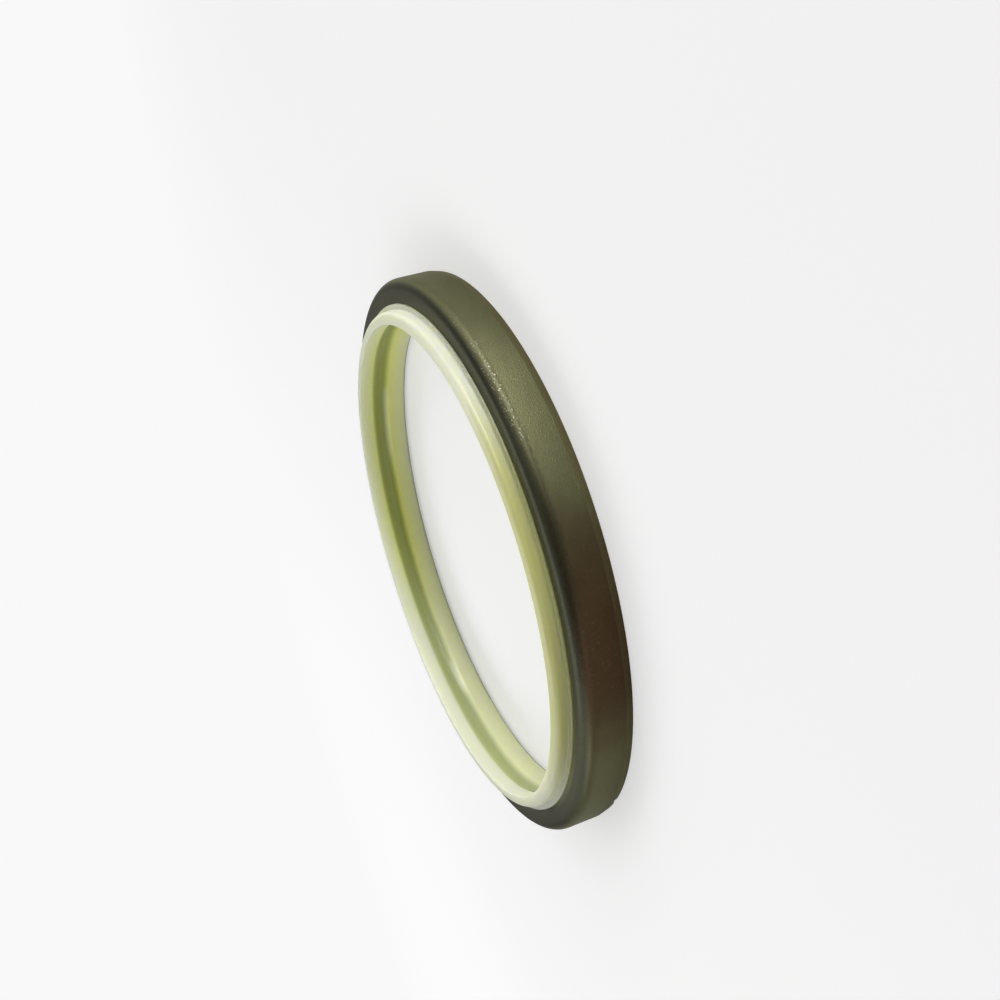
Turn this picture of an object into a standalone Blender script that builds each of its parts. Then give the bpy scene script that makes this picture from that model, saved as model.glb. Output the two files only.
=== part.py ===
"""Hydraulic rod wiper seal, a pressed steel case with a polyurethane wiper moulded into it.

The ring lies on the back rim of its case with the wiping lip up. Z is the axis of the rod, and
the origin is the centre of the back rim. Every length is in metres.
"""

import math

import bmesh
import bpy
from mathutils import Matrix, Vector

# What the seal fits
ROD_DIAMETER = 0.0900
SECTION = 0.0070  # from the rod out to the housing bore

# Case, pressed from sheet steel
CASE_HEIGHT = 0.0083
CASE_WALL = 0.0010
CASE_BEND = 0.0013  # inside radius of the front corner
FLANGE_WIDTH = 0.00425  # from the outer wall in to the hole
FLANGE_EDGE = 0.00012  # rounding of the sheared hole
LEAD_IN_HEIGHT = 0.0013
LEAD_IN_DEPTH = 0.0003

# Polyurethane wiper, moulded inside the case and out through its flange
BOND_GAP = 0.0003
LEDGE_RISE = 0.00025  # ledge round the lip, above the flange
LEDGE_WIDTH = 0.00105  # from the flange's hole in to the root of the lip
LEDGE_EDGE = 0.0001  # rounding on both sides of the ledge
LIP_RISE = 0.00245  # wiping edge above the flange
WIPE_PINCH = 0.0005  # wiping edge inside the rod's radius
FACE_FALL = 0.00025  # front face, down from the wiping edge to the shoulder
SHOULDER_ROUND = 0.0008
LIP_EDGE = 0.00008
LIP_DEPTH = 0.0029  # inner wall of the wiping lip
LIP_DRAFT = 0.00025
GROOVE_DEPTH = 0.0010  # behind the inner wall of the lip
GROOVE_SLOPE = 0.0015
GROOVE_FLOOR = 0.0009
GROOVE_ROUND = 0.0007
FLANK_LENGTH = 0.0013
FLANK_RISE = 0.00065
REAR_PINCH = 0.0002  # rear edge inside the rod's radius
REAR_EDGE_HEIGHT = 0.0012
REAR_EDGE = 0.00015
BACK_STEP = 0.0005  # back of the wiper, in from the rim of the case
BACK_CHAMFER = 0.0008
HEEL_WIDTH = 0.0009  # foot of the rear lip
FOOT_WIDTH = 0.0012  # foot of the outer leg
RELIEF_DEPTH = 0.0038  # groove in the back that frees the rear lip
RELIEF_ROUND = 0.0007

# Fineness of the facets
TURN_STEPS = 96
ROUND_STEP = math.radians(24)
SMALL_ROUND = 0.0002

rod_radius = ROD_DIAMETER / 2
case_radius = rod_radius + SECTION
case_inside = case_radius - CASE_WALL
flange_hole = case_radius - FLANGE_WIDTH
flange_under = CASE_HEIGHT - CASE_WALL


def rounded_outline(corners):
    """Closed outline in the XZ plane through (x, z, radius) corners, each rounded by an arc."""
    outline = []
    for index, (x, z, radius) in enumerate(corners):
        corner = Vector((x, z))
        before = Vector(corners[index - 1][:2]) - corner
        after = Vector(corners[(index + 1) % len(corners)][:2]) - corner
        if radius == 0:
            outline.append(corner)
            continue
        half = before.angle(after) / 2
        reach = min(radius / math.tan(half), 0.45 * min(before.length, after.length))
        radius = reach * math.tan(half)
        start = corner + before.normalized() * reach
        end = corner + after.normalized() * reach
        centre = corner + (before.normalized() + after.normalized()).normalized() * (radius / math.sin(half))
        sweep = (start - centre).angle_signed(end - centre)
        steps = 2 if radius < SMALL_ROUND else math.ceil(abs(sweep) / ROUND_STEP)
        for step in range(steps + 1):
            turn = Matrix.Rotation(-sweep * step / steps, 2)
            outline.append(centre + turn @ (start - centre))
    return outline


def turned_ring(name, corners):
    """Object made by turning the rounded outline once about Z."""
    mesh = bpy.data.meshes.new(name)
    shape = bmesh.new()
    outline = [shape.verts.new((point.x, 0, point.y)) for point in rounded_outline(corners)]
    edges = [shape.edges.new((outline[index - 1], outline[index])) for index in range(len(outline))]
    bmesh.ops.spin(
        shape,
        geom=outline + edges,
        cent=(0, 0, 0),
        axis=(0, 0, 1),
        angle=math.tau,
        steps=TURN_STEPS,
        use_merge=True,
    )
    bmesh.ops.recalc_face_normals(shape, faces=shape.faces)
    shape.to_mesh(mesh)
    shape.free()
    mesh.shade_smooth()
    mesh.set_sharp_from_angle(angle=math.radians(35))
    ring = bpy.data.objects.new(name, mesh)
    bpy.context.scene.collection.objects.link(ring)
    return ring


def surface(name, color, roughness, metallic):
    material = bpy.data.materials.new(name)
    material.use_nodes = True
    shader = material.node_tree.nodes["Principled BSDF"]
    shader.inputs["Base Color"].default_value = (*color, 1)
    shader.inputs["Roughness"].default_value = roughness
    shader.inputs["Metallic"].default_value = metallic
    return material


def case():
    """Steel cup with a straight outer wall, a rounded front corner and an open flange."""
    ring = turned_ring(
        "case",
        [
            (case_radius - LEAD_IN_DEPTH, 0, 0),
            (case_radius, LEAD_IN_HEIGHT, 0),
            (case_radius, CASE_HEIGHT, CASE_BEND + CASE_WALL),
            (flange_hole, CASE_HEIGHT, FLANGE_EDGE),
            (flange_hole, flange_under, FLANGE_EDGE),
            (case_inside, flange_under, CASE_BEND),
            (case_inside, 0, 0),
        ],
    )
    ring.data.materials.append(surface("phosphated_steel", (0.105, 0.10, 0.052), 0.45, 0.6))
    return ring


def wiper_body():
    """Double lip: a wiping lip that stands out of the flange, and a rear lip at the back."""
    outside = case_inside - BOND_GAP
    top = flange_under - BOND_GAP
    neck = flange_hole - BOND_GAP
    ledge_top = CASE_HEIGHT + LEDGE_RISE
    root = flange_hole - LEDGE_WIDTH
    edge = rod_radius - WIPE_PINCH
    edge_top = CASE_HEIGHT + LIP_RISE
    wall = edge + LIP_DRAFT
    wall_end = edge_top - LIP_DEPTH
    floor = wall + GROOVE_DEPTH
    floor_top = wall_end - GROOVE_SLOPE
    floor_end = floor_top - GROOVE_FLOOR
    rear = rod_radius - REAR_PINCH
    heel = rear + BACK_CHAMFER
    relief = heel + HEEL_WIDTH
    relief_end = outside - FOOT_WIDTH
    ring = turned_ring(
        "wiper_body",
        [
            (outside, BACK_STEP, 0),
            (outside, top, CASE_BEND - BOND_GAP),
            (neck, top, 0),
            (neck, ledge_top, LEDGE_EDGE),
            (root, ledge_top, LEDGE_EDGE),
            (root, edge_top - FACE_FALL, SHOULDER_ROUND),
            (edge, edge_top, LIP_EDGE),
            (wall, wall_end, GROOVE_ROUND),
            (floor, floor_top, GROOVE_ROUND),
            (floor, floor_end, GROOVE_ROUND),
            (floor - FLANK_RISE, floor_end - FLANK_LENGTH, GROOVE_ROUND),
            (rear, REAR_EDGE_HEIGHT, REAR_EDGE),
            (heel, BACK_STEP, 0),
            (relief, BACK_STEP, REAR_EDGE),
            ((relief + relief_end) / 2, BACK_STEP + RELIEF_DEPTH, RELIEF_ROUND),
            (relief_end, BACK_STEP, REAR_EDGE),
        ],
    )
    ring.data.materials.append(surface("polyurethane", (0.66, 0.68, 0.42), 0.4, 0.0))
    return ring


for item in list(bpy.data.objects):
    bpy.data.objects.remove(item, do_unlink=True)
case()
wiper_body()
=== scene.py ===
"""Looks of a hydraulic rod wiper seal: phosphated steel case, polyurethane wiper with a double lip.

The ring lies on the back rim of its case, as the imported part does. Z is the axis of the rod, the
wiping lip is up, and every length is in metres.
"""

import math

import bmesh
import bpy
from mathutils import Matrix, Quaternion, Vector


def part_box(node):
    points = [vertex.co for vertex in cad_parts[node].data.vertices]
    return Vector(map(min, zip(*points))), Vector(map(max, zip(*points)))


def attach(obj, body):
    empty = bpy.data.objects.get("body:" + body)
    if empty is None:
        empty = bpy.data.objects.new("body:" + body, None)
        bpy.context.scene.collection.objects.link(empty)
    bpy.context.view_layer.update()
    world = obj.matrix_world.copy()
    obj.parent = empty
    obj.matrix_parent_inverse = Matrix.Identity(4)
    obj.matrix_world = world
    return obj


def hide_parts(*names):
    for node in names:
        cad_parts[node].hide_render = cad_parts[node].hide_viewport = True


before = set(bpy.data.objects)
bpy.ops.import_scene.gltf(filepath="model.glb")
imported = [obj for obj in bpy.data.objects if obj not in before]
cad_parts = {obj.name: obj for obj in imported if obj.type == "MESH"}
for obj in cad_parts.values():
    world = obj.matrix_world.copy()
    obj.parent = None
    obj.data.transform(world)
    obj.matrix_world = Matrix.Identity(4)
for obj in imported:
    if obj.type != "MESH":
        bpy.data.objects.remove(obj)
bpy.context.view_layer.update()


# The view. The camera stands in front of the ring, a little above it, and is turned about its own
# axis, so that the ring is seen as if it stood on its rim.
CAMERA_PLACE = Vector((0.0, -0.21089, 0.06619))
CAMERA_AIM = Vector((0.00764, -0.01072, 0.0))
CAMERA_TURN = math.radians(-106.66)
SENSOR_WIDTH = 36.0
FOCAL_LENGTH = 42.48
CLIP_START = 0.01

camera = bpy.data.objects.new("camera", bpy.data.cameras.new("camera"))
camera.data.sensor_width = SENSOR_WIDTH
camera.data.lens = FOCAL_LENGTH
camera.data.clip_start = CLIP_START
camera.location = CAMERA_PLACE
camera.rotation_mode = "QUATERNION"
upright = (CAMERA_AIM - CAMERA_PLACE).to_track_quat("-Z", "Y")
camera.rotation_quaternion = upright @ Quaternion((0, 0, 1), CAMERA_TURN)
bpy.context.scene.collection.objects.link(camera)
bpy.context.scene.camera = camera
bpy.context.scene.view_settings.view_transform = "Standard"


# Case. One cup pressed from 1 mm sheet steel: straight outer wall, rounded front corner, open
# flange, and a lead-in turned on the back edge. A zinc phosphate coat makes it satin olive.
case_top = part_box("case")[1]
CASE_RADIUS = case_top.x
CASE_HEIGHT = case_top.z
CASE_WALL = 0.0010
CORNER_INSIDE = 0.0013
CORNER_ROUND = CORNER_INSIDE + CASE_WALL
FLANGE_WIDTH = 0.00425
FLANGE_EDGE = 0.00012
LEAD_IN_HEIGHT = 0.0013
LEAD_IN_DEPTH = 0.0003
LEAD_IN_EDGE = 0.00008
RIM_EDGE = 0.00006
TURN_STEPS = 480
FINE_ROUND = 0.0003  # an arc smaller than this gets few facets
FEW_FACETS = 3
MORE_FACETS = 10
LONGEST_REACH = 0.45  # of the shorter side beside a corner, for the arc that rounds it
SHARP_ANGLE = math.radians(30)

case_inside = CASE_RADIUS - CASE_WALL
flange_hole = CASE_RADIUS - FLANGE_WIDTH
flange_under = CASE_HEIGHT - CASE_WALL


def turned_shape(corners):
    """Ring made by rounding (x, z, radius) corners of a section, then turning it once about Z."""
    shape = bmesh.new()
    points = [Vector((x, 0, z)) for x, z, _ in corners]
    outline = [shape.verts.new(point) for point in points]
    shape.faces.new(outline)
    for index, (_, _, radius) in enumerate(corners):
        if radius == 0:
            continue
        before = points[index - 1] - points[index]
        after = points[(index + 1) % len(points)] - points[index]
        longest = LONGEST_REACH * min(before.length, after.length)
        bmesh.ops.bevel(
            shape,
            geom=[outline[index]],
            offset=min(radius / math.tan(before.angle(after) / 2), longest),
            offset_type="OFFSET",
            affect="VERTICES",
            segments=FEW_FACETS if radius < FINE_ROUND else MORE_FACETS,
            profile=0.5,
            material=-1,
            clamp_overlap=False,
        )
    bmesh.ops.delete(shape, geom=shape.faces[:], context="FACES_ONLY")
    bmesh.ops.spin(
        shape,
        geom=shape.verts[:] + shape.edges[:],
        cent=(0, 0, 0),
        axis=(0, 0, 1),
        angle=math.tau,
        steps=TURN_STEPS,
        use_merge=True,
    )
    bmesh.ops.recalc_face_normals(shape, faces=shape.faces)
    return shape


def piece_from(name, shape, material):
    """Scene object made from a bmesh, smooth but for its edges, which rides on the part."""
    mesh = bpy.data.meshes.new(name)
    shape.to_mesh(mesh)
    shape.free()
    mesh.shade_smooth()
    mesh.set_sharp_from_angle(angle=SHARP_ANGLE)
    mesh.materials.append(material)
    piece = bpy.data.objects.new(name, mesh)
    bpy.context.scene.collection.objects.link(piece)
    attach(piece, "root")
    return piece


class Wire:
    """A node's output, on which plain arithmetic adds Math nodes."""

    def __init__(self, finish, socket):
        self.finish = finish
        self.socket = socket

    def __add__(self, other):
        return self.finish.maths("ADD", self, other)

    def __sub__(self, other):
        return self.finish.maths("SUBTRACT", self, other)

    def __rsub__(self, other):
        return self.finish.maths("SUBTRACT", other, self)

    def __mul__(self, other):
        return self.finish.maths("MULTIPLY", self, other)

    def __truediv__(self, other):
        return self.finish.maths("DIVIDE", self, other)

    def __rtruediv__(self, other):
        return self.finish.maths("DIVIDE", other, self)

    def __pow__(self, other):
        return self.finish.maths("POWER", self, other)

    __radd__ = __add__
    __rmul__ = __mul__


class Finish:
    """The node tree of a material or of the world, and the methods that add nodes to it."""

    def __init__(self, owner):
        owner.use_nodes = True
        self.owner = owner
        self.nodes = owner.node_tree.nodes
        self.links = owner.node_tree.links

    def set(self, name, sockets):
        """Gives sockets of the node of that name, by name or number, a value or a link."""
        for key, value in sockets.items():
            socket = self.nodes[name].inputs[key]
            if isinstance(value, Wire):
                self.links.new(value.socket, socket)
            else:
                socket.default_value = value

    def node(self, kind, settings, sockets, output=0):
        """Adds a node with its settings, then its sockets, and returns one of its outputs."""
        node = self.nodes.new(kind)
        for key, value in settings.items():
            setattr(node, key, value)
        self.set(node.name, sockets)
        return Wire(self, node.outputs[output])

    def maths(self, operation, *values):
        return self.node("ShaderNodeMath", {"operation": operation}, dict(enumerate(values)))

    def split(self, place):
        """The three coordinates of a place."""
        first = self.node("ShaderNodeSeparateXYZ", {}, {"Vector": place})
        return [Wire(self, output) for output in first.socket.node.outputs]

    def noise(self, place, size, detail, roughness):
        """Noise with features of about that size."""
        return self.node(
            "ShaderNodeTexNoise",
            {},
            {"Vector": place, "Scale": 1 / size, "Detail": detail, "Roughness": roughness},
        )

    def step(self, value, low, high):
        """0 below low, 1 above high, and smooth between them."""
        return self.node(
            "ShaderNodeMapRange",
            {"interpolation_type": "SMOOTHSTEP"},
            {"Value": value, "From Min": low, "From Max": high},
        )

    def mix(self, share, first, second):
        """Colour that goes from the first to the second as share goes from 0 to 1."""
        return self.node("ShaderNodeMix", {"data_type": "RGBA"}, {0: share, 6: first, 7: second}, 2)


def facing(across, along, side):
    """Cosine of the angle round the ring from that side, larger further out."""
    return (across * math.cos(side) + along * math.sin(side)) / CASE_RADIUS


def from_axis(across, along):
    """Distance from the axis of the rod."""
    return (across * across + along * along) ** 0.5


# Colours of the coat. The olive, the flange's dark colour and the crystals are the coat's own. The
# brown and the corner's colour are painted shade, and the corner's colour also makes the random
# clouds. The grey is a painted reflection, and the lip-foot, sparkle and lead-in colours are
# painted light.
OLIVE_COAT = (0.154, 0.155, 0.077, 1)
BROWN_SHADE_COAT = (0.080, 0.047, 0.022, 1)
FLANGE_COAT = (0.031, 0.032, 0.0235, 1)
GREY_REFLECTION_COAT = (0.056, 0.057, 0.040, 1)
LIP_FOOT_LIGHT_COAT = (0.195, 0.195, 0.125, 1)
CORNER_SHADE_AND_CLOUD_COAT = (0.050, 0.046, 0.028, 1)
CRYSTAL_COAT = (0.17, 0.165, 0.12, 1)
SPARKLE_HIGHLIGHT_COAT = (0.42, 0.41, 0.33, 1)
LEAD_IN_LIGHT_COAT = (0.29, 0.25, 0.12, 1)

GRAIN_SIZE = 0.00022
GRAIN_DEPTH = 0.00006
CRYSTAL_SIZE = 0.00018
CRYSTAL_CUT = (0.78, 0.92)  # cells of the pattern above this are bright crystals
BLOTCH_SIZE = 0.0011
BLOTCH_REACH = 0.0010  # how far the blotches carry the edge of the corner's painted shade up and down
CLOUD_SIZE = 0.016
CLOUD_CUT = (0.4, 0.8)

# Sides where light and shade are painted into the coat, and the facing() at which each starts and
# is full
BROWN_SHADE_SIDE = math.radians(-111)
BROWN_SHADE_SPREAD = (0.89, 1.0)
BROWN_SHADE_DRIFT = 0.08
GREY_REFLECTION_SIDE = math.radians(-112)
GREY_REFLECTION_SPREAD = (0.55, 0.80)
CORNER_SHADE_SIDE = math.radians(-80)
CORNER_SHADE_SPREAD = (0.84, 0.96)
SPARKLE_HIGHLIGHT_SIDE = math.radians(-60)
SPARKLE_HIGHLIGHT_SPREAD = (0.93, 1.0)

# Bands where the coat differs: distances below the front, for the corner's painted shade and the
# flange, out from the flange's hole, for the painted light at the lip's foot, and the blur on both
# sides of the lead-in's edge
CORNER_BAND = (1.05 * CORNER_ROUND, 0.7 * CORNER_ROUND)
FLANGE_BAND = (0.42 * CORNER_ROUND, 0.08 * CORNER_ROUND)
LIP_FOOT_LIGHT_WIDTH = 0.0013
LEAD_IN_BLUR = 0.0001

# Shares of those coats
LEAD_IN_LIGHT_SHARE = 0.42
LEAD_IN_LIGHT_LOSS = 0.22  # where the painted brown shade is
CORNER_SHADE_SHARE = 0.15
CORNER_SHADE_SIDE_SHARE = 0.5
CRYSTAL_SHARE = 0.12
CLOUD_SHARE = 0.2
SPARKLE_HIGHLIGHT_SHARE = 0.8

phosphate = Finish(bpy.data.materials.new("phosphate_coat"))
place = phosphate.node("ShaderNodeTexCoord", {}, {}, "Object")
across, along, height = phosphate.split(place)
grain = phosphate.noise(place, GRAIN_SIZE, 3.0, 0.6)
cloud = phosphate.noise(place, CLOUD_SIZE, 3.0, 0.55)
blotch = phosphate.noise(place, BLOTCH_SIZE, 3.0, 0.6)
cells = phosphate.node(
    "ShaderNodeTexVoronoi", {}, {"Vector": place, "Scale": 1 / CRYSTAL_SIZE}, "Color"
)
crystal = phosphate.step(cells, *CRYSTAL_CUT)
# Painted shade: the wall turns brown towards the dark near side.
drift = (cloud - 0.5) * BROWN_SHADE_DRIFT
painted_brown_shade = phosphate.step(facing(across, along, BROWN_SHADE_SIDE) + drift, *BROWN_SHADE_SPREAD)
# Painted reflection: the flange turns greyer towards the near side.
painted_grey_reflection = phosphate.step(facing(across, along, GREY_REFLECTION_SIDE), *GREY_REFLECTION_SPREAD)
# Painted shade: the front corner's dark band, deeper and blotchy towards the near side.
corner_shade_near_side = phosphate.step(facing(across, along, CORNER_SHADE_SIDE), *CORNER_SHADE_SPREAD)
# Painted highlight: bright specks on the front corner beside the highlight.
painted_sparkle_highlight = phosphate.step(facing(across, along, SPARKLE_HIGHLIGHT_SIDE), *SPARKLE_HIGHLIGHT_SPREAD)
at_corner = phosphate.step(
    height + (blotch - 0.5) * BLOTCH_REACH,
    CASE_HEIGHT - CORNER_BAND[0],
    CASE_HEIGHT - CORNER_BAND[1],
)
in_flange = phosphate.step(height, CASE_HEIGHT - FLANGE_BAND[0], CASE_HEIGHT - FLANGE_BAND[1])
corner = at_corner * (1 - in_flange)
# Painted light: the flange is paler next to the lip's foot, on the near side.
past_lip_foot_light = phosphate.step(from_axis(across, along), flange_hole, flange_hole + LIP_FOOT_LIGHT_WIDTH)
# Painted light: the lead-in is paler.
lead_in = 1 - phosphate.step(height, LEAD_IN_HEIGHT - LEAD_IN_BLUR, LEAD_IN_HEIGHT + LEAD_IN_BLUR)

# The flange: its own dark colour, a painted grey reflection towards the near side, and painted
# light next to the lip's foot.
flange = phosphate.mix(painted_grey_reflection, FLANGE_COAT, phosphate.mix(past_lip_foot_light, LIP_FOOT_LIGHT_COAT, GREY_REFLECTION_COAT))
coat = phosphate.mix(painted_brown_shade, OLIVE_COAT, BROWN_SHADE_COAT)
# Painted light on the lead-in, less where the brown is painted shade.
coat = phosphate.mix(lead_in * (LEAD_IN_LIGHT_SHARE - painted_brown_shade * LEAD_IN_LIGHT_LOSS), coat, LEAD_IN_LIGHT_COAT)
# Painted shade in the front corner.
coat = phosphate.mix(corner * (CORNER_SHADE_SHARE + corner_shade_near_side * CORNER_SHADE_SIDE_SHARE), coat, CORNER_SHADE_AND_CLOUD_COAT)
coat = phosphate.mix(in_flange, coat, flange)
coat = phosphate.mix(crystal * CRYSTAL_SHARE, coat, CRYSTAL_COAT)
# Random darker clouds, in the same colour as the corner's painted shade.
coat = phosphate.mix(phosphate.step(cloud, *CLOUD_CUT) * CLOUD_SHARE, coat, CORNER_SHADE_AND_CLOUD_COAT)
# Painted highlight: bright crystal specks on the front corner.
coat = phosphate.mix(crystal * corner * painted_sparkle_highlight * SPARKLE_HIGHLIGHT_SHARE, coat, SPARKLE_HIGHLIGHT_COAT)
grained = phosphate.node(
    "ShaderNodeBump",
    {},
    {"Strength": 0.8, "Distance": GRAIN_DEPTH, "Height": grain + crystal * 0.5},
)
phosphate.set(
    "Principled BSDF",
    {
        "Base Color": coat,
        "Metallic": 0.85,
        "Specular Tint": (0.70, 0.70, 0.61, 1),
        "Roughness": 0.42 + (grain - 0.5) * 0.3 - crystal * 0.10,
        "Normal": grained,
    },
)

shell = turned_shape(
    [
        (CASE_RADIUS - LEAD_IN_DEPTH, 0, RIM_EDGE),
        (CASE_RADIUS, LEAD_IN_HEIGHT, LEAD_IN_EDGE),
        (CASE_RADIUS, CASE_HEIGHT, CORNER_ROUND),
        (flange_hole, CASE_HEIGHT, FLANGE_EDGE),
        (flange_hole, flange_under, FLANGE_EDGE),
        (case_inside, flange_under, CORNER_INSIDE),
        (case_inside, 0, RIM_EDGE),
    ]
)

# The knock on the back edge, from a fall: metal pushed inwards and up
NICK_SIDE = math.radians(-155)
NICK_SIZE = 0.0013
NICK_DEPTH = 0.00025
NICK_LIFT = 0.6  # of its depth

nick_outwards = Vector((math.cos(NICK_SIDE), math.sin(NICK_SIDE), 0))
nick_push = (Vector((0, 0, NICK_LIFT)) - nick_outwards) * NICK_DEPTH
for vertex in shell.verts:
    nearness = 1 - (vertex.co - nick_outwards * CASE_RADIUS).length / NICK_SIZE
    if nearness > 0:
        vertex.co += nick_push * nearness

case_shell = piece_from("case_shell", shell, phosphate.owner)
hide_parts("case")


# Wiper. One polyurethane moulding, cast into the case and bonded to it: a ledge round the hole of
# the flange, the wiping lip, a groove, the rear lip, and a groove in the back that frees it.
lip_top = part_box("wiper_body")[1].z
ROD_RADIUS = 0.0450
HIDDEN_BITE = 0.00002  # the moulding runs this far into the steel, so that no crack shows
NECK_GAP = 0.00003  # round the ledge, in the flange's hole
LEDGE_RISE = 0.00025
LEDGE_WIDTH = 0.00105
LEDGE_ROUND = 0.0001
ROOT_ROUND = 0.0004
SHOULDER_FALL = 0.00025
SHOULDER_ROUND = 0.0008
WIPE_PINCH = 0.0005  # wiping edge inside the rod's radius
LIP_ROUND = 0.00008
LIP_DEPTH = 0.0029
LIP_DRAFT = 0.00025
GROOVE_DEPTH = 0.0010
GROOVE_SLOPE = 0.0015
GROOVE_FLOOR = 0.0009
FLANK_LENGTH = 0.0013
FLANK_RISE = 0.00065
SOFT_ROUND = 0.0007
REAR_PINCH = 0.0002  # rear edge inside the rod's radius
REAR_HEIGHT = 0.0012
EDGE_ROUND = 0.00015
BACK = 0.0005  # back of the moulding, above the rim of the case
BACK_CHAMFER = 0.0008
CHAMFER_ROUND = 0.00006
HEEL_WIDTH = 0.0009
FOOT_WIDTH = 0.0015
RELIEF_MIDDLE = 0.0032  # out from the rear edge
RELIEF_DEPTH = 0.0038

outside = case_inside + HIDDEN_BITE
under_flange = flange_under + HIDDEN_BITE
neck = flange_hole - NECK_GAP
ledge_top = CASE_HEIGHT + LEDGE_RISE
lip_root = flange_hole - LEDGE_WIDTH
wiping_edge = ROD_RADIUS - WIPE_PINCH
wall = wiping_edge + LIP_DRAFT
wall_end = lip_top - LIP_DEPTH
groove = wall + GROOVE_DEPTH
groove_start = wall_end - GROOVE_SLOPE
groove_end = groove_start - GROOVE_FLOOR
flank_end = groove_end - FLANK_LENGTH
rear_edge = ROD_RADIUS - REAR_PINCH
heel = rear_edge + BACK_CHAMFER
moulding = turned_shape(
    [
        (outside, BACK, 0),
        (outside, under_flange, CORNER_INSIDE),
        (neck, under_flange, 0),
        (neck, ledge_top, LEDGE_ROUND),
        (lip_root, ledge_top, ROOT_ROUND),
        (lip_root, lip_top - SHOULDER_FALL, SHOULDER_ROUND),
        (wiping_edge, lip_top, LIP_ROUND),
        (wall, wall_end, SOFT_ROUND),
        (groove, groove_start, SOFT_ROUND),
        (groove, groove_end, SOFT_ROUND),
        (groove - FLANK_RISE, flank_end, SOFT_ROUND),
        (rear_edge, REAR_HEIGHT, EDGE_ROUND),
        (heel, BACK, CHAMFER_ROUND),
        (heel + HEEL_WIDTH, BACK, EDGE_ROUND),
        (rear_edge + RELIEF_MIDDLE, BACK + RELIEF_DEPTH, SOFT_ROUND),
        (outside - FOOT_WIDTH, BACK, EDGE_ROUND),
    ]
)

# Colours of the cream. The lip's cream is the moulding's own. The groove's green, the flank's
# cream, and the shady, far-side and ledge colours are shaded copies of it: painted shade.
LIP_CREAM = (0.74, 0.76, 0.62, 1)
FLANK_SHADED_CREAM = (0.88, 0.92, 0.56, 1)
GROOVE_SHADE_GREEN = (0.50, 0.54, 0.25, 1)
SHADY_CREAM = (0.50, 0.50, 0.175, 1)
FAR_SHADE_CREAM = (0.82, 0.84, 0.27, 1)
FAR_SHADE_GREEN = (0.40, 0.44, 0.11, 1)
FAR_SHADE_LIP = (0.76, 0.79, 0.31, 1)
LEDGE_SHADE_GREEN = (0.25, 0.27, 0.12, 1)

CREAM_CLOUD_SIZE = 0.012
WAVE_SIZE = 0.0030
WAVE_DEPTH = 0.00006
SHADY_SIDE = math.radians(-106)
SHADY_SPREAD = (0.55, 0.84)
SHADY_SHARE = 0.85
FAR_SHADE_SIDE = math.radians(45)
FAR_SHADE_SPREAD = (0.30, 0.80)
FAR_SHADE_FLANK_BAND = (0.0008, 0.0048)  # heights between which the far side's painted shade deepens the flank's colour
FAR_SHADE_LIP_BAND = (0.0032, 0.0004)  # the same for the lip's inner wall, below the wiping edge
LIP_BLEND = 0.0005
LEDGE_BLEND = 0.0003
LEDGE_SHADE_SHARE = 0.15
LEDGE_RIM = (0.00015, 0.00008)  # its dark outer line of painted shade, in from the neck
LEDGE_RIM_SHADE_SHARE = 0.5

cast_polyurethane = Finish(bpy.data.materials.new("cast_polyurethane"))
place = cast_polyurethane.node("ShaderNodeTexCoord", {}, {}, "Object")
across, along, height = cast_polyurethane.split(place)
radius = from_axis(across, along)
cloud = cast_polyurethane.noise(place, CREAM_CLOUD_SIZE, 2.0, 0.5)
wave = cast_polyurethane.noise(place, WAVE_SIZE, 1.0, 0.5)
in_lip = cast_polyurethane.step(height, wall_end - SOFT_ROUND, wall_end + LIP_BLEND)
in_flank = 1 - cast_polyurethane.step(height, flank_end, groove_end)
low = 1 - cast_polyurethane.step(height, ledge_top, ledge_top + LEDGE_RISE)
in_ledge = cast_polyurethane.step(radius, lip_root - LEDGE_BLEND, lip_root) * low
in_rim = cast_polyurethane.step(radius, neck - LEDGE_RIM[0], neck - LEDGE_RIM[1]) * low
shady = cast_polyurethane.step(facing(across, along, SHADY_SIDE), *SHADY_SPREAD) * SHADY_SHARE
# Painted shade: the far side of the bore is deeper and yellower.
far_shade = cast_polyurethane.step(facing(across, along, FAR_SHADE_SIDE), *FAR_SHADE_SPREAD)
far_shade_flank = far_shade * cast_polyurethane.step(height, *FAR_SHADE_FLANK_BAND)
at_edge = cast_polyurethane.step(height, lip_top - FAR_SHADE_LIP_BAND[0], lip_top - FAR_SHADE_LIP_BAND[1])

# Painted shade: the groove is darker green and the flank a yellower shaded cream.
groove_shade = cast_polyurethane.mix(far_shade, GROOVE_SHADE_GREEN, FAR_SHADE_GREEN)
flank = cast_polyurethane.mix(far_shade_flank, FLANK_SHADED_CREAM, FAR_SHADE_CREAM)
lip = cast_polyurethane.mix(far_shade * (1 - at_edge), LIP_CREAM, FAR_SHADE_LIP)
cream = cast_polyurethane.mix(in_flank, groove_shade, flank)
cream = cast_polyurethane.mix(in_lip, cream, lip)
cream = cast_polyurethane.mix(shady, cream, SHADY_CREAM)
# Painted shade on the ledge and its outer rim.
cream = cast_polyurethane.mix(
    in_ledge * LEDGE_SHADE_SHARE + in_rim * LEDGE_RIM_SHADE_SHARE, cream, LEDGE_SHADE_GREEN
)
ripple = cast_polyurethane.node(
    "ShaderNodeBump", {}, {"Strength": 0.15, "Distance": WAVE_DEPTH, "Height": wave}
)
cast_polyurethane.set(
    "Principled BSDF",
    {
        "Base Color": cream,
        "Roughness": 0.13 + in_lip * 0.22 + (cloud - 0.5) * 0.04,
        "Subsurface Weight": 1.0,
        "Subsurface Radius": (1.0, 1.0, 0.35),
        "Subsurface Scale": 0.0030,
        "IOR": 1.48,
        "Normal": ripple,
    },
)

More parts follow.
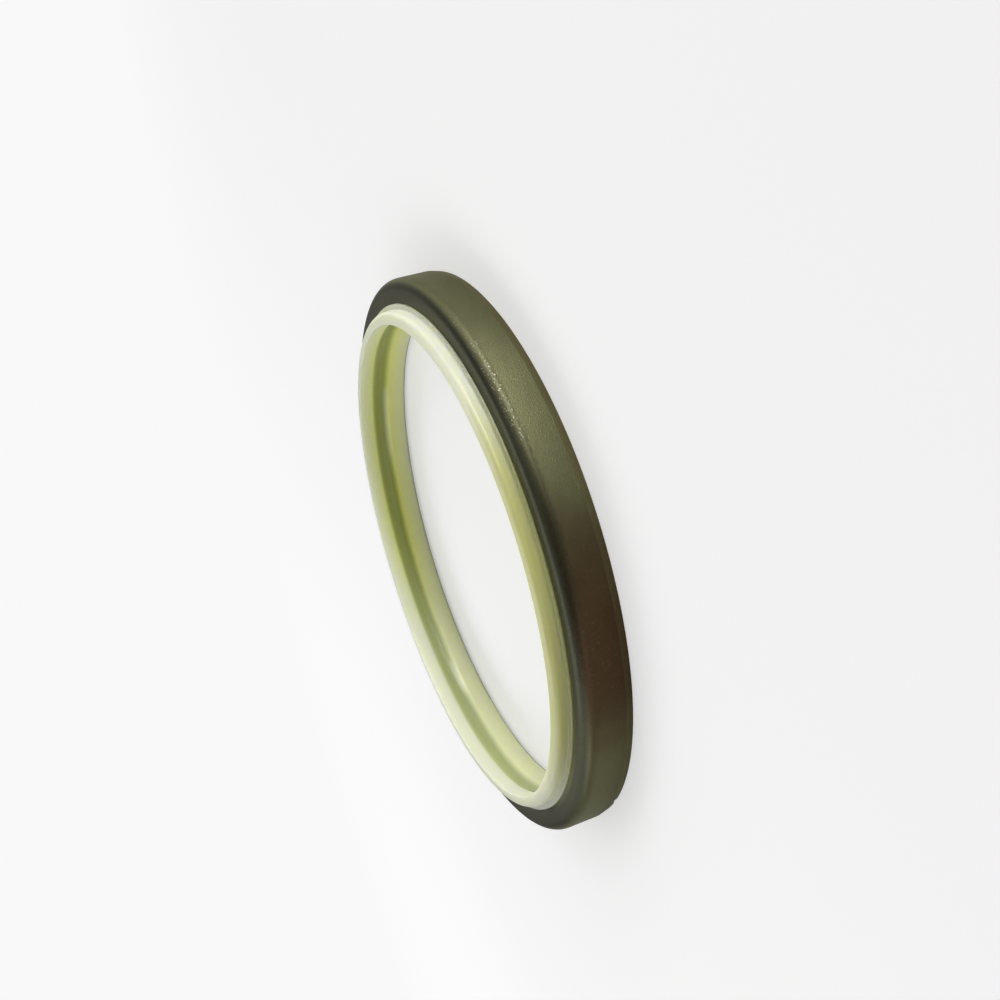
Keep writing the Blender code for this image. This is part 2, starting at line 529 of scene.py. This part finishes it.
wiper_moulding = piece_from("wiper_moulding", moulding, cast_polyurethane.owner)
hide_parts("wiper_body")


# Floor. It is pale and matt, and the camera sees plain pale grey mixed into it, more and more
# outwards, so that it meets the surround without a horizon.
FLOOR_SIZE = 12.0
FLOOR_COLOR = (0.88, 0.88, 0.88, 1)
PALE = 0.945
FLOOR_LIT = 0.68  # what the lamps alone make of the floor near the ring
NEAR_SHARE = 0.30  # of plain pale grey near the ring, where the shadow has to show
FADE_START = 0.12
FADE_END = 0.42

floor_shape = bmesh.new()
bmesh.ops.create_grid(floor_shape, x_segments=1, y_segments=1, size=FLOOR_SIZE)
floor_mesh = bpy.data.meshes.new("floor")
floor_shape.to_mesh(floor_mesh)
floor_shape.free()
pale_floor = Finish(bpy.data.materials.new("pale_floor"))
pale_floor.set(
    "Principled BSDF", {"Base Color": FLOOR_COLOR, "Roughness": 0.9, "Specular IOR Level": 0.1}
)
seen = pale_floor.node("ShaderNodeLightPath", {}, {}, "Is Camera Ray")
place = pale_floor.node("ShaderNodeTexCoord", {}, {}, "Object")
across, along = pale_floor.split(place)[:2]
far = pale_floor.step(from_axis(across, along), FADE_START, FADE_END)
share = NEAR_SHARE + far * (1 - NEAR_SHARE)
evened = FLOOR_LIT + (PALE - FLOOR_LIT) / share  # makes PALE of the lit floor at that share
plain = pale_floor.node("ShaderNodeEmission", {}, {"Color": evened, "Strength": 1.0})
shaded = Wire(pale_floor, pale_floor.nodes["Principled BSDF"].outputs["BSDF"])
floor_look = pale_floor.node("ShaderNodeMixShader", {}, {0: seen * share, 1: shaded, 2: plain})
pale_floor.set("Material Output", {"Surface": floor_look})
floor_mesh.materials.append(pale_floor.owner)
floor = bpy.data.objects.new("floor", floor_mesh)
bpy.context.scene.collection.objects.link(floor)


# Light. Soft lamps stand round the ring as in a small studio, and the surround glows on two sides
# and is black on the others, as in a tent lit from one end. The camera sees it as plain pale grey.
LAMP_DISTANCE = 0.7
END_GLOW = 0.87
BACK_GLOW = 0.28
BLACK = (0, 0, 0, 1)
WHITE = (1, 1, 1, 1)


def soft_lamp(name, compass, rise, size, power):
    """Rectangular lamp towards that compass angle and height from the ring, turned to face it."""
    lamp = bpy.data.lights.new(name, "AREA")
    lamp.shape = "RECTANGLE"
    lamp.size = size[0]
    lamp.size_y = size[1]
    lamp.energy = power
    holder = bpy.data.objects.new(name, lamp)
    flat = Vector((math.cos(math.radians(compass)), math.sin(math.radians(compass)), 0))
    towards = flat * math.cos(math.radians(rise)) + Vector((0, 0, math.sin(math.radians(rise))))
    holder.location = towards * LAMP_DISTANCE
    holder.rotation_euler = towards.to_track_quat("Z", "Y").to_euler()
    bpy.context.scene.collection.objects.link(holder)


# The highlight and the bright specks on the case's wall and corner
soft_lamp("graze_lamp", -39, 5, (0.46, 0.10), 3.1)
# The far side of the bore, and the brown side of the case
soft_lamp("side_lamp", -140, 12, (0.45, 0.20), 0.60)
soft_lamp("bounce_lamp", 180, 34, (0.45, 0.35), 1.0)
# What the flange and the front corner mirror, and what lights them from above
soft_lamp("corner_lamp", 138, 42, (0.40, 0.35), 0.75)
soft_lamp("back_lamp", 90, 40, (0.45, 0.35), 1.1)
soft_lamp("overhead_lamp", 0, 90, (0.30, 0.30), 0.20)
# The streak on the flank of the groove
soft_lamp("strip_lamp", -25, 33, (0.22, 0.06), 0.27)

world = bpy.data.worlds.new("surround")
bpy.context.scene.world = world
surround = Finish(world)
seen = surround.node("ShaderNodeLightPath", {}, {}, "Is Camera Ray")
place = surround.node("ShaderNodeTexCoord", {}, {}, "Generated")
across, along = surround.split(place)[:2]
glow = surround.step(across, 0.0, 1.0) * END_GLOW + surround.step(along, 0.0, 1.0) * BACK_GLOW
tent = surround.mix(glow, BLACK, WHITE)
surround.set(
    "Background", {"Color": surround.mix(seen, tent, (PALE, PALE, PALE, 1)), "Strength": 1.0}
)
